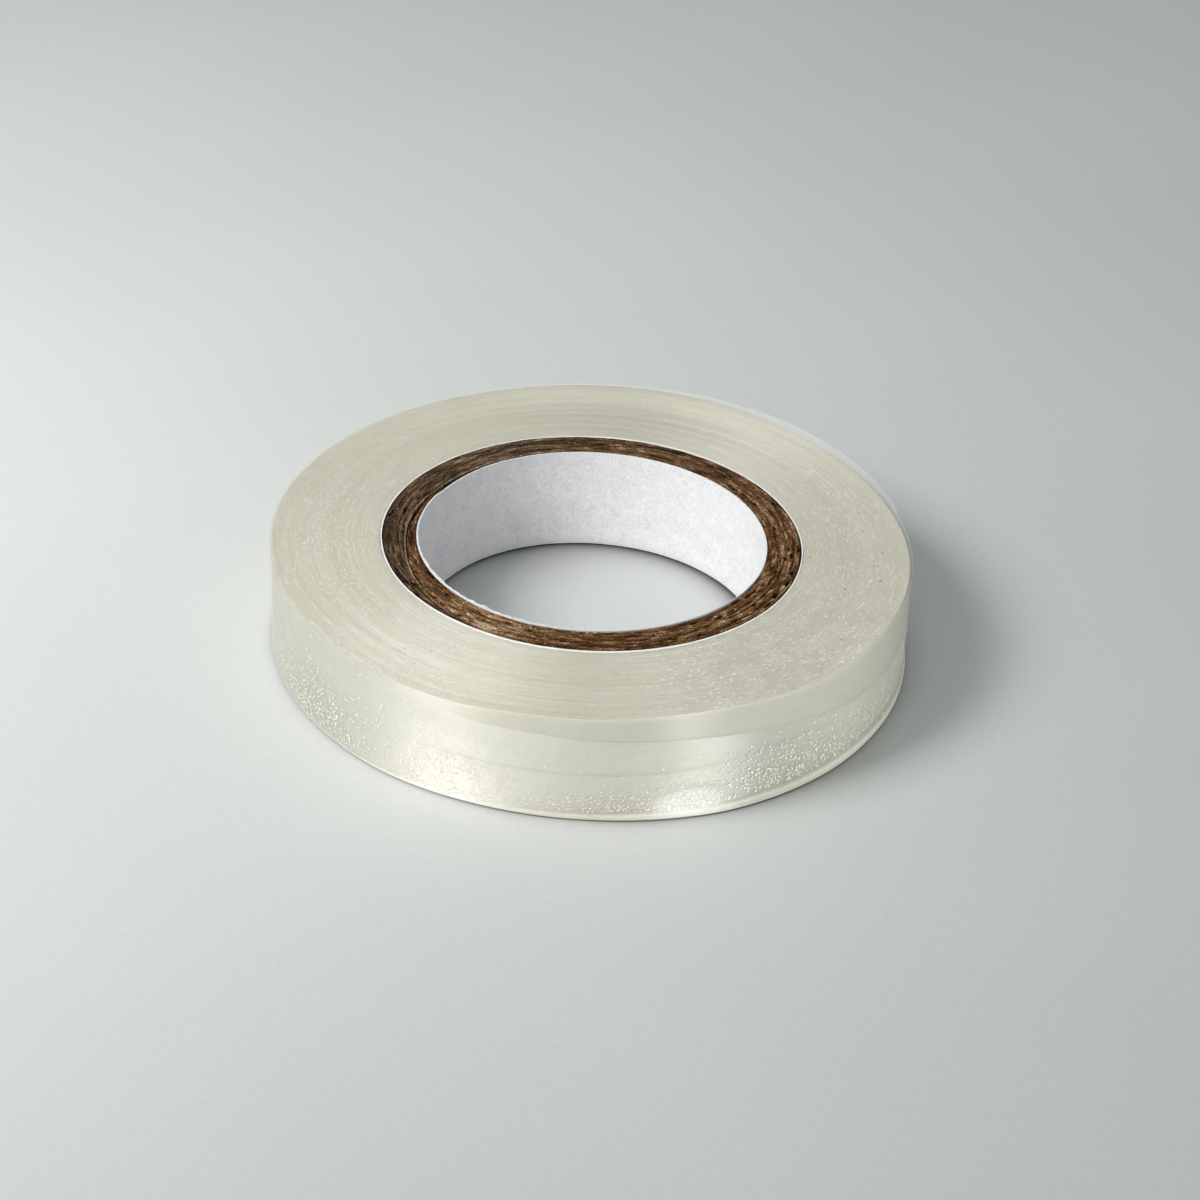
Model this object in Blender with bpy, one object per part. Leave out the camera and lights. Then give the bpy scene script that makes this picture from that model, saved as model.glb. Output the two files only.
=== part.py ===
"""A roll of clear single-sided tape lying flat.

Frame: metres, +Z up, origin at the centre of the face the roll rests on, +Z along the roll's axis.
The core is a laminated paperboard tube with a white paper liner inside and outside.
The ribbon is wound round it; its free end is a chain of short strips that follow the roll at rest.
"""
import math

import bmesh
import bpy

MM = 0.001

# ---- driving dimensions, millimetres -------------------------------------------------------------
WIDTH = 8.2               # tape width = height of the roll as it lies
BORE_R = 12.70            # one-inch core
LINER_T = 0.15            # white paper, inside and outside the core
PLY_T = 0.60              # one board ply
PLIES = 4
GAP = 0.03                # glue-line gap between nested layers
WOUND_T = 8.00            # radial depth of the wound ribbon
FILM_T = 0.06             # one layer of film with its adhesive
EDGE = 0.05               # liners, middle plies and outer film stop this far short of both faces
SEAM_W = 0.30             # butt seam in a ply, along the circumference

FACETS = 96               # every ring has the same facets in the same phase
STEP = 360.0 / FACETS

INNER_LINER_SEAM = 205.0  # azimuths of the seams, degrees
PLY_SEAMS = (157.5, 63.75, 288.75, 225.0)
OUTER_LINER_SEAM = 120.0

TAIL_ROOT = 15.0          # azimuth of the line where the free end leaves the roll
TAIL_SEGMENTS = 6
SEGMENT_FACETS = 4        # facets per strip of the tail
TAIL_JOINT_GAP = 0.04     # slit between neighbouring strips

# ---- colours (linear) ---------------------------------------------------------------------------
WHITE_PAPER = (0.80, 0.80, 0.79)
BROWN_BOARD = (0.115, 0.066, 0.038)
CLEAR_TAPE = (0.62, 0.62, 0.50)
CLEAR_FILM = (0.72, 0.73, 0.66)


def clear_scene():
    for obj in list(bpy.data.objects):
        bpy.data.objects.remove(obj, do_unlink=True)


def material(name, colour, roughness):
    mat = bpy.data.materials.new(name)
    mat.use_nodes = True
    shader = mat.node_tree.nodes["Principled BSDF"]
    shader.inputs["Base Color"].default_value = (*colour, 1.0)
    shader.inputs["Roughness"].default_value = roughness
    shader.inputs["Metallic"].default_value = 0.0
    return mat


def polar(radius, degrees):
    a = math.radians(degrees)
    return radius * math.cos(a), radius * math.sin(a)


def strip(name, azimuths, inner, outer, z0, z1, mat, closed, origin=(0.0, 0.0, 0.0)):
    """A wall of rectangular section that follows the given azimuths.

    inner and outer give the radius at an azimuth. A closed wall is a ring; an open one gets end caps.
    origin is where the object's own origin sits, in millimetres.
    """
    bm = bmesh.new()
    ox, oy, oz = origin
    sections = []
    for a in azimuths:
        xi, yi = polar(inner(a), a)
        xo, yo = polar(outer(a), a)
        corners = ((xi, yi, z0), (xo, yo, z0), (xo, yo, z1), (xi, yi, z1))
        sections.append([bm.verts.new(((x - ox) * MM, (y - oy) * MM, (z - oz) * MM)) for x, y, z in corners])
    count = len(sections)
    for i in range(count if closed else count - 1):
        s, t = sections[i], sections[(i + 1) % count]
        for k in range(4):
            m = (k + 1) % 4
            bm.faces.new((s[k], t[k], t[m], s[m]))
    if not closed:
        bm.faces.new((sections[0][0], sections[0][1], sections[0][2], sections[0][3]))
        bm.faces.new((sections[-1][3], sections[-1][2], sections[-1][1], sections[-1][0]))
    bmesh.ops.recalc_face_normals(bm, faces=bm.faces[:])
    if bm.calc_volume(signed=True) < 0.0:
        bmesh.ops.reverse_faces(bm, faces=bm.faces[:])
    mesh = bpy.data.meshes.new(name)
    bm.to_mesh(mesh)
    bm.free()
    mesh.materials.append(mat)
    mesh.shade_smooth()
    mesh.set_sharp_from_angle(angle=math.radians(35.0))
    obj = bpy.data.objects.new(name, mesh)
    obj.location = (ox * MM, oy * MM, oz * MM)
    bpy.context.scene.collection.objects.link(obj)
    return obj


def ring_azimuths():
    return [i * STEP for i in range(FACETS)]


def split_azimuths(seam, radius):
    """Azimuths of a ring that is cut open at seam, with the slit's half width on either side."""
    half = math.degrees(0.5 * SEAM_W / radius)
    inside = [seam + i * STEP for i in range(1, FACETS)]
    return [seam + half] + inside + [seam + 360.0 - half]


def flat(radius):
    return lambda azimuth: radius


def split_ring(name, r0, r1, seam, mat, edge=EDGE):
    """A ring of one paper or board layer with an axial butt seam, which falls on a facet edge.

    edge is how far the layer stops short of the roll's two faces.
    """
    seam = round(seam / STEP) * STEP
    half = math.degrees(0.5 * SEAM_W / r0)
    chord = math.cos(math.radians(STEP / 2.0))

    def on_facet(radius):
        # the two ends of the layer lie on the chord between facet corners, not on the arc
        def at(azimuth):
            off = (azimuth - seam) % 360.0
            near = min(off, 360.0 - off)
            if near < half + 1e-6:
                return radius * chord / math.cos(math.radians(STEP / 2.0 - half))
            return radius
        return at

    return strip(name, split_azimuths(seam, r0), on_facet(r0), on_facet(r1), edge, WIDTH - edge, mat,
                 closed=False)


clear_scene()

radius = BORE_R
split_ring("core_inner_liner", radius, radius + LINER_T, INNER_LINER_SEAM,
           material("white_paper_inner", WHITE_PAPER, 0.85))
radius += LINER_T + GAP

for index in range(PLIES):
    split_ring("core_board_ply_%d" % (index + 1), radius, radius + PLY_T, PLY_SEAMS[index],
               material("brown_board_%d" % (index + 1), BROWN_BOARD, 0.9), edge=0.0 if index == 0 else EDGE)
    radius += PLY_T + GAP

split_ring("core_outer_liner", radius, radius + LINER_T, OUTER_LINER_SEAM,
           material("white_paper_outer", WHITE_PAPER, 0.85))
radius += LINER_T + GAP

WOUND_R = radius + WOUND_T
strip("tape_wound_turns", ring_azimuths(), flat(radius), flat(WOUND_R), 0.0, WIDTH,
      material("clear_tape", CLEAR_TAPE, 0.35), closed=True)

# The last turn and the free end are one spiral: the radius grows by one layer in each turn.
PITCH = FILM_T + GAP
TAIL_SPAN = TAIL_SEGMENTS * SEGMENT_FACETS * STEP
TAIL_END = TAIL_ROOT + TAIL_SPAN
TURN_START = TAIL_ROOT - 360.0


def spiral(azimuth):
    """Inner radius of the ribbon at an unwrapped azimuth from TURN_START to TAIL_END."""
    return WOUND_R + GAP + PITCH * (azimuth - TURN_START) / 360.0


def spiral_out(azimuth):
    return spiral(azimuth) + FILM_T


Z_LOW, Z_HIGH = EDGE, WIDTH - EDGE
strip("tape_outer_turn", [TURN_START + i * STEP for i in range(FACETS + 1)], spiral, spiral_out, Z_LOW, Z_HIGH,
      material("clear_outer_turn", CLEAR_FILM, 0.2), closed=False)

# Free end: each strip hangs on the line where it leaves the one before it, on the ribbon's outer face.
for index in range(TAIL_SEGMENTS):
    first = TAIL_ROOT + index * SEGMENT_FACETS * STEP
    slit = math.degrees(TAIL_JOINT_GAP / spiral_out(first))
    azimuths = [first + slit] + [first + i * STEP for i in range(1, SEGMENT_FACETS + 1)]
    hinge_x, hinge_y = polar(spiral_out(first), first)
    strip("tape_tail_%d" % (index + 1), azimuths, spiral, spiral_out, Z_LOW, Z_HIGH,
          material("clear_tail_%d" % (index + 1), CLEAR_FILM, 0.2), closed=False,
          origin=(hinge_x, hinge_y, 0.5 * WIDTH))
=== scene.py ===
"""Looks of a roll of clear tape that lies flat on a pale floor.

Metres, +Z up. Lengths below are in millimetres until a mesh is made.
Every shape is worked out on a polar grid: azimuth in degrees, radius and height in millimetres.
"""
import math

import bpy
import numpy as np
from mathutils import Matrix, Vector


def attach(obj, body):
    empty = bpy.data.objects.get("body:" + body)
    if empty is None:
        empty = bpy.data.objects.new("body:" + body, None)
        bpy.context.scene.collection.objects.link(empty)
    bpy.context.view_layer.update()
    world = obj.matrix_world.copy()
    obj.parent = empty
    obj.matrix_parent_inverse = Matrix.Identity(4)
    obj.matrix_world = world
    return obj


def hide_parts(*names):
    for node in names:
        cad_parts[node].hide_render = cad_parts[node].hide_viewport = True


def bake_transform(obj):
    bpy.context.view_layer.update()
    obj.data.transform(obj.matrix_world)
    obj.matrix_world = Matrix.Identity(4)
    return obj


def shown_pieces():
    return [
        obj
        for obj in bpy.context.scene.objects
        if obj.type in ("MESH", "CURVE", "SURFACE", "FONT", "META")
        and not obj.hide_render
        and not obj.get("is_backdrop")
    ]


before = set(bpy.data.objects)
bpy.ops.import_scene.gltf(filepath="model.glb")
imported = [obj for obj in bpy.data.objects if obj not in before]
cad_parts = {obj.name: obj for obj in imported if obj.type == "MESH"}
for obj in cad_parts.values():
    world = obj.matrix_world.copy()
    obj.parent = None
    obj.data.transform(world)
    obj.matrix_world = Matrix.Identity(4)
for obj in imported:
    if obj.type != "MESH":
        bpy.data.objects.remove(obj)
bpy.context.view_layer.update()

MM = 0.001
TOP = 8.2                       # height of the roll as it lies
FILM_R = 23.52                  # outside of the last full turn at its upper edge
FILM_T = 0.07
TAIL_ROOT, TAIL_STEP, TAIL_COUNT = 15.0, 15.0, 6


# ---------------------------------------------------------------- noise and curves

def lattice(ix, iy, seed):
    n = (ix * 374761393 + iy * 668265263 + seed * 974711) & 0x7FFFFFFF
    n = ((n ^ (n >> 13)) * 1274126177) & 0x7FFFFFFF
    n = ((n ^ (n >> 16)) * 60493 + 19990303) & 0x7FFFFFFF
    n = n ^ (n >> 11)
    return (n & 0xFFFF) / 65535.0


def value_noise(x, y, seed, period=None):
    x, y = np.broadcast_arrays(np.asarray(x, float), np.asarray(y, float))
    ix, iy = np.floor(x).astype(np.int64), np.floor(y).astype(np.int64)
    fx, fy = x - ix, y - iy
    fx, fy = fx * fx * (3 - 2 * fx), fy * fy * (3 - 2 * fy)
    jx = ix + 1
    if period:
        ix, jx = ix % period, jx % period
    a, b = lattice(ix, iy, seed), lattice(jx, iy, seed)
    c, d = lattice(ix, iy + 1, seed), lattice(jx, iy + 1, seed)
    return (a + (b - a) * fx) * (1 - fy) + (c + (d - c) * fx) * fy


def fbm(x, y, seed, octaves=4, period=None):
    total, norm, amp = 0.0, 0.0, 1.0
    for k in range(octaves):
        total = total + amp * value_noise(np.asarray(x) * 2 ** k, np.asarray(y) * 2 ** k, seed + 31 * k,
                                          None if period is None else period * 2 ** k)
        norm += amp
        amp *= 0.55
    return total / norm


def smooth(a, b, x):
    t = np.clip((np.asarray(x, float) - a) / (b - a), 0.0, 1.0)
    return t * t * (3 - 2 * t)


def through(x, knots, period=None):
    """A smooth curve, without overshoot, through (x, value) knots; it repeats if period is given."""
    kx = np.array([k[0] for k in knots], float)
    kv = np.array([k[1] for k in knots], float)
    x = np.asarray(x, float)
    if period:
        x = kx[0] + (x - kx[0]) % period
        kx = np.concatenate([kx - period, kx, kx + period])
        kv = np.tile(kv, 3)
    h = np.diff(kx)
    s = np.diff(kv) / h
    slope = np.zeros_like(kv)
    same = s[:-1] * s[1:] > 0
    slope[1:-1][same] = 2 * s[:-1][same] * s[1:][same] / (s[:-1][same] + s[1:][same])
    i = np.clip(np.searchsorted(kx, x, side="right") - 1, 0, len(h) - 1)
    t = np.clip((x - kx[i]) / h[i], 0.0, 1.0)
    return ((1 + 2 * t) * (1 - t) ** 2 * kv[i] + t * (1 - t) ** 2 * h[i] * slope[i]
            + t * t * (3 - 2 * t) * kv[i + 1] + t * t * (t - 1) * h[i] * slope[i + 1])


# ---------------------------------------------------------------- meshes

def mesh_object(name, points, faces, materials, smooth_angle=40.0, attributes=None, slots=None):
    mesh = bpy.data.meshes.new(name)
    mesh.from_pydata((np.asarray(points, float) * MM).tolist(), [], faces)
    for mat in materials:
        mesh.materials.append(mat)
    if slots is not None:
        mesh.polygons.foreach_set("material_index", np.asarray(slots, np.int32))
    for key, values in (attributes or {}).items():
        mesh.attributes.new(key, "FLOAT", "POINT").data.foreach_set("value", np.asarray(values, np.float32).ravel())
    mesh.shade_smooth()
    mesh.set_sharp_from_angle(angle=math.radians(smooth_angle))
    mesh.validate()
    mesh.update()
    obj = bpy.data.objects.new(name, mesh)
    bpy.context.scene.collection.objects.link(obj)
    return obj


def sweep(name, points, closed, materials, smooth_angle=40.0, attributes=None, slot_rule=None):
    """A solid whose section is a closed loop (second axis of points) carried along the first axis."""
    n, m, _ = points.shape
    ids = np.arange(n * m).reshape(n, m)
    a = ids if closed else ids[:-1]
    b = np.roll(ids, -1, 0) if closed else ids[1:]
    turn = np.roll(np.arange(m), -1)
    quads = np.stack([a, b, b[:, turn], a[:, turn]], -1).reshape(-1, 4)
    faces = quads.tolist()
    slots = None
    if slot_rule is not None:
        slots = np.tile(slot_rule, a.shape[0]).tolist()
    if not closed:
        faces.append(ids[0].tolist())
        faces.append(ids[-1][::-1].tolist())
        if slots is not None:
            slots += [0, 0]
    return mesh_object(name, points.reshape(-1, 3), faces, materials, smooth_angle, attributes, slots)


def loop(bottom, outer, top, inner):
    """Section coordinates of a wall: across 0..1 from inside to outside, up 0..1, and which side a point is on."""
    across = np.concatenate([np.linspace(0, 1, bottom, endpoint=False), np.ones(outer),
                             1 - np.linspace(0, 1, top, endpoint=False), np.zeros(inner)])
    up = np.concatenate([np.zeros(bottom), np.linspace(0, 1, outer, endpoint=False),
                         np.ones(top), 1 - np.linspace(0, 1, inner, endpoint=False)])
    side = np.concatenate([np.zeros(bottom), np.ones(outer), np.full(top, 2), np.full(inner, 3)]).astype(int)
    return across, up, side


def polar(radius, azimuth, z):
    a = np.radians(azimuth)
    return np.stack(np.broadcast_arrays(radius * np.cos(a), radius * np.sin(a), z), -1)


class Mat:
    """Builds one node material; values go straight on sockets, sockets are linked."""

    def __init__(self, name):
        self.mat = bpy.data.materials.new(name)
        self.mat.use_nodes = True
        self.tree = self.mat.node_tree
        self.tree.nodes.clear()
        self.out = self.tree.nodes.new("ShaderNodeOutputMaterial")
        coords = self.node("ShaderNodeTexCoord").outputs["Object"]
        self.mm = self.vector("SCALE", coords, scale=1000.0)
        self.xyz = self.node("ShaderNodeSeparateXYZ", Vector=self.mm).outputs
        self._radius = None

    def node(self, kind, props=None, **sockets):
        made = self.tree.nodes.new(kind)
        for key, value in (props or {}).items():
            setattr(made, key, value)
        for key, value in sockets.items():
            self.put(made.inputs[key.replace("_", " ")], value)
        return made

    def put(self, socket, value):
        if isinstance(value, bpy.types.NodeSocket):
            self.tree.links.new(value, socket)
        else:
            socket.default_value = value

    def vector(self, op, a, b=None, scale=None):
        made = self.tree.nodes.new("ShaderNodeVectorMath")
        made.operation = op
        self.put(made.inputs[0], a)
        if b is not None:
            self.put(made.inputs[1], b)
        if scale is not None:
            self.put(made.inputs["Scale"], scale)
        return made.outputs["Value"] if op in ("LENGTH", "DOT_PRODUCT", "DISTANCE") else made.outputs["Vector"]

    def math(self, op, a, b=None, c=None, clamp=False):
        made = self.tree.nodes.new("ShaderNodeMath")
        made.operation = op
        made.use_clamp = clamp
        for i, value in enumerate((a, b, c)):
            if value is not None:
                self.put(made.inputs[i], value)
        return made.outputs[0]

    def add(self, a, b):
        return self.math("ADD", a, b)

    def mul(self, a, b):
        return self.math("MULTIPLY", a, b)

    def map(self, value, low, high, to_low=0.0, to_high=1.0, kind="SMOOTHSTEP"):
        made = self.tree.nodes.new("ShaderNodeMapRange")
        made.interpolation_type = kind
        for i, v in enumerate((value, low, high, to_low, to_high)):
            self.put(made.inputs[i], v)
        return made.outputs[0]

    def noise(self, vector, scale, detail=4.0, roughness=0.55, distortion=0.0):
        return self.node("ShaderNodeTexNoise", {"noise_dimensions": "3D"}, Vector=vector, Scale=scale, Detail=detail,
                         Roughness=roughness, Distortion=distortion).outputs[0]

    def cells(self, vector, scale, feature="F1", randomness=1.0):
        made = self.node("ShaderNodeTexVoronoi", {"feature": feature}, Vector=vector, Scale=scale, Randomness=randomness)
        return made.outputs

    def ramp(self, value, stops, kind="LINEAR"):
        made = self.tree.nodes.new("ShaderNodeValToRGB")
        made.color_ramp.interpolation = kind
        elements = made.color_ramp.elements
        while len(elements) < len(stops):
            elements.new(0.5)
        for element, (place, colour) in zip(elements, stops):
            element.position = place
            element.color = (*colour, 1.0)
        self.put(made.inputs[0], value)
        return made.outputs[0]

    def mix(self, factor, a, b, blend="MIX"):
        made = self.tree.nodes.new("ShaderNodeMix")
        made.data_type = "RGBA"
        made.blend_type = blend
        self.put(made.inputs[0], factor)
        for socket, value in ((made.inputs[6], a), (made.inputs[7], b)):
            self.put(socket, (*value, 1.0) if isinstance(value, tuple) and len(value) == 3 else value)
        return made.outputs[2]

    def attribute(self, name):
        return self.node("ShaderNodeAttribute", {"attribute_name": name}).outputs["Fac"]

    @property
    def radius(self):
        if self._radius is None:
            self._radius = self.vector("LENGTH", self.vector("MULTIPLY", self.mm, (1.0, 1.0, 0.0)))
        return self._radius

    def along(self, arc, across):
        """Coordinates that run with the turns: stretched by arc along the circumference, by across along the radius."""
        flat = self.vector("NORMALIZE", self.vector("MULTIPLY", self.mm, (1.0, 1.0, 0.0)))
        ring = self.vector("SCALE", flat, scale=arc)
        lift = self.node("ShaderNodeCombineXYZ", Z=self.mul(self.radius, across)).outputs[0]
        return self.vector("ADD", ring, lift)

    def bump(self, height, distance_mm, strength=1.0, normal=None):
        made = self.node("ShaderNodeBump", Strength=strength, Distance=distance_mm * MM, Height=height)
        if normal is not None:
            self.put(made.inputs["Normal"], normal)
        return made.outputs[0]

    def principled(self, **sockets):
        shader = self.node("ShaderNodeBsdfPrincipled", None, **sockets)
        self.tree.links.new(shader.outputs[0], self.out.inputs["Surface"])
        return self.mat


def paper_material(name, white, grey, fibre, hair):
    m = Mat(name)
    cloud = m.noise(m.mm, 0.8, 3.0, 0.55)
    # curled fibres: level lines of a smooth, strongly warped noise
    curl = m.math("SINE", m.mul(m.noise(m.mm, 0.80, 1.0, 0.45, 2.2), 30.0))
    small = m.math("SINE", m.mul(m.noise(m.mm, 1.3, 1.0, 0.45, 1.8), 20.0))
    strands = m.mul(m.map(curl, 0.66, 0.95), m.map(cloud, 0.38, 0.58, 0.4, 1.0))
    hairs = m.math("MAXIMUM", m.mul(m.map(small, -0.97, -0.66, 1.0, 0.0), m.map(cloud, 0.42, 0.62, 1.0, 0.3)),
                   m.mul(m.map(curl, -0.98, -0.74, 1.0, 0.0), 0.8))
    fine = m.noise(m.mm, 9.0, 2.0, 0.5)
    spots = m.mul(m.map(m.cells(m.mm, 0.62)["Distance"], 0.02, 0.06, 1.0, 0.0), m.map(m.noise(m.mm, 0.4, 1.0), 0.45, 0.60))
    tone = m.add(m.mul(cloud, 0.75), m.mul(fine, 0.25))
    colour = m.mix(m.map(tone, 0.34, 0.62), grey, white)
    colour = m.mix(m.mul(hairs, 0.80), colour, hair)
    colour = m.mix(m.mul(strands, 0.6), colour, fibre)
    colour = m.mix(m.mul(spots, 0.5), colour, (0.42, 0.40, 0.38))
    # painted light: the paper is made lighter towards its bottom, making up for the painted shadow on the floor beside
    # it
    colour = m.vector("MINIMUM", m.vector("SCALE", colour, scale=m.map(m.xyz["Z"], 0.0, 2.4, 1.12, 1.0)), (0.975, 0.975, 0.985))
    height = m.add(m.mul(m.math("SUBTRACT", strands, m.mul(hairs, 0.8)), 0.8), m.add(m.mul(cloud, 0.12), m.mul(fine, 0.20)))
    return m.principled(Base_Color=colour, Roughness=m.map(fine, 0.3, 0.7, 0.82, 0.95), Specular_IOR_Level=0.25,
                        Normal=m.bump(height, 0.022, 0.6))


def board_material(name):
    m = Mat(name)
    tone, warm = m.attribute("tone"), m.attribute("warm")
    grain = m.noise(m.along(11.0, 3.6), 1.5, 5.0, 0.68, 0.8)
    fine = m.noise(m.along(15.0, 2.4), 6.0, 4.0, 0.6, 0.3)
    curl = m.math("SINE", m.mul(m.noise(m.along(16.0, 2.5), 1.35, 1.0, 0.5, 1.6), 40.0))
    keep = m.map(m.noise(m.along(14.0, 1.2), 0.9, 2.0, 0.5), 0.36, 0.60, 0.30, 1.0)
    groove = m.mul(m.map(curl, -0.98, -0.62, 1.0, 0.0), keep)
    thread = m.mul(m.map(curl, 0.72, 0.98), m.mul(keep, m.add(0.35, m.mul(warm, 0.65))))
    value = m.add(m.mul(tone, 0.66), m.add(m.mul(grain, 0.42), m.mul(m.math("SUBTRACT", fine, 0.5), 0.50)))
    value = m.add(m.math("SUBTRACT", value, 0.015), m.math("SUBTRACT", m.mul(thread, 0.27), m.mul(groove, 0.31)))
    grey = m.ramp(value, [(0.20, (0.008, 0.006, 0.004)), (0.40, (0.044, 0.029, 0.017)), (0.58, (0.102, 0.068, 0.040)),
                          (0.78, (0.23, 0.162, 0.102)), (1.0, (0.74, 0.62, 0.47))])
    brown = m.ramp(value, [(0.20, (0.008, 0.004, 0.002)), (0.40, (0.062, 0.027, 0.010)), (0.58, (0.152, 0.072, 0.029)),
                           (0.78, (0.34, 0.188, 0.090)), (1.0, (0.84, 0.67, 0.47))])
    colour = m.mix(warm, grey, brown)
    height = m.add(m.add(m.mul(grain, 0.8), m.mul(fine, 0.6)), m.math("SUBTRACT", m.mul(thread, 0.5), m.mul(groove, 0.8)))
    return m.principled(Base_Color=colour, Roughness=m.map(value, 0.3, 0.8, 1.0, 0.85), Specular_IOR_Level=0.06,
                        Normal=m.bump(height, 0.07, 0.8))


def tape_face_material(name):
    """The two faces of the roll: the cut edges of some hundred and fifty turns, pressed into one waxy face."""
    m = Mat(name)
    warp = m.noise(m.mm, 0.10, 2.0, 0.5)
    r = m.add(m.radius, m.mul(warp, 0.5))
    flat = m.vector("NORMALIZE", m.vector("MULTIPLY", m.mm, (1.0, 1.0, 0.0)))

    def sector(azimuth, from_cos, to_cos):
        a = math.radians(azimuth)
        return m.map(m.vector("DOT_PRODUCT", flat, (math.cos(a), math.sin(a), 0.0)), from_cos, to_cos)

    broad = m.noise(m.node("ShaderNodeCombineXYZ", X=m.mul(r, 0.55)).outputs[0], 1.0, 2.0, 0.5)
    bands = m.noise(m.along(1.2, 1.0), 1.5, 3.0, 0.6)
    lines = m.noise(m.along(3.0, 3.4), 2.2, 4.0, 0.62)
    patch = m.noise(m.mm, 0.16, 3.0, 0.5)
    fine = m.noise(m.mm, 2.6, 3.0, 0.55, 1.2)
    curl = m.math("SINE", m.mul(m.noise(m.mm, 1.25, 1.0, 0.45, 2.0), 44.0))
    worm = m.map(curl, 0.78, 0.98)
    dent = m.map(curl, -0.98, -0.74, 1.0, 0.0)
    spread = m.map(m.noise(m.mm, 0.42, 2.0, 0.5), 0.38, 0.58)
    scuff = m.mul(worm, m.mul(spread, m.add(0.35, m.mul(sector(195.0, 0.35, 0.92), 0.65))))
    # short bright dashes along the turns at the front right and half way out at both sides, thin bright arcs at the left
    ring = m.mul(m.map(m.radius, 17.0, 18.6), m.map(m.radius, 20.8, 22.4, 1.0, 0.0))
    dash = m.map(m.cells(m.along(34.0, 3.0), 1.0)["Distance"], 0.16, 0.30, 1.0, 0.0)
    dash = m.mul(dash, m.mul(m.map(m.noise(m.mm, 0.5, 2.0), 0.32, 0.50), m.add(m.add(0.10, sector(308.0, 0.86, 0.97)), m.add(m.mul(m.mul(sector(188.0, 0.80, 0.96), ring), 0.7), m.mul(m.mul(sector(2.0, 0.70, 0.95), ring), 0.7)))))
    wavy = m.math("SINE", m.mul(m.noise(m.along(30.0, 2.2), 1.0, 1.0, 0.45, 1.7), 42.0))
    curls = m.mul(m.map(wavy, 0.72, 0.97), m.mul(m.map(m.noise(m.mm, 0.55, 2.0), 0.40, 0.58), m.add(0.10, sector(318.0, 0.70, 0.95))))
    arcs = m.mul(m.map(m.noise(m.along(9.0, 4.4), 2.0, 2.0, 0.5), 0.585, 0.64), m.add(0.25, m.add(m.mul(sector(190.0, 0.3, 0.95), 0.5), m.mul(sector(345.0, 0.5, 0.9), 0.6))))
    specks = m.mul(m.map(m.cells(m.mm, 1.7)["Distance"], 0.05, 0.13, 1.0, 0.0), m.map(m.noise(m.mm, 0.5, 2.0), 0.48, 0.60))
    tone = m.add(m.mul(broad, 0.34), m.add(m.mul(bands, 0.20), m.add(m.mul(lines, 0.24), m.mul(patch, 0.14))))
    tone = m.add(tone, m.math("SUBTRACT", m.mul(fine, 0.12), m.add(0.025, m.mul(m.mul(dent, spread), 0.15))))
    colour = m.ramp(tone, [(0.32, (0.548, 0.526, 0.410)), (0.46, (0.606, 0.585, 0.472)), (0.56, (0.643, 0.624, 0.514)),
                           (0.70, (0.702, 0.686, 0.582))])
    bright = m.math("MINIMUM", m.add(m.add(m.mul(scuff, 0.50), m.mul(dash, 0.64)), m.add(m.mul(arcs, 0.42), m.add(m.mul(specks, 0.60), m.mul(curls, 0.72)))), 1.0)
    colour = m.mix(bright, colour, (0.92, 0.915, 0.86))
    dust = m.mul(m.map(m.cells(m.mm, 0.58)["Distance"], 0.036, 0.062, 1.0, 0.0), m.add(m.mul(m.map(m.noise(m.mm, 0.21, 1.0), 0.50, 0.60), 0.5), m.mul(sector(352.0, 0.80, 0.92), 0.9)))
    colour = m.mix(m.math("MINIMUM", dust, 0.85), colour, (0.12, 0.085, 0.05))
    height = m.add(m.mul(lines, 0.60), m.add(m.mul(bright, 0.7), m.math("SUBTRACT", m.mul(fine, 0.4), m.mul(dent, 0.25))))
    # painted light and shade: the face is made lighter or darker round the roll, and darker near its edge at the left,
    # from the shade attribute
    colour = m.vector("SCALE", colour, scale=m.attribute("shade"))
    grooves = m.node("ShaderNodeTangent", {"direction_type": "RADIAL", "axis": "Z"}).outputs[0]
    return m.principled(Base_Color=colour, Roughness=m.map(lines, 0.3, 0.7, 0.52, 0.60), Specular_IOR_Level=0.8, IOR=1.9,
                        Anisotropic=0.84, Anisotropic_Rotation=0.274, Tangent=grooves,
                        Subsurface_Weight=0.45, Subsurface_Radius=(1.0, 0.98, 0.88), Subsurface_Scale=0.0013,
                        Normal=m.bump(height, 0.03, 0.5))


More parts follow.
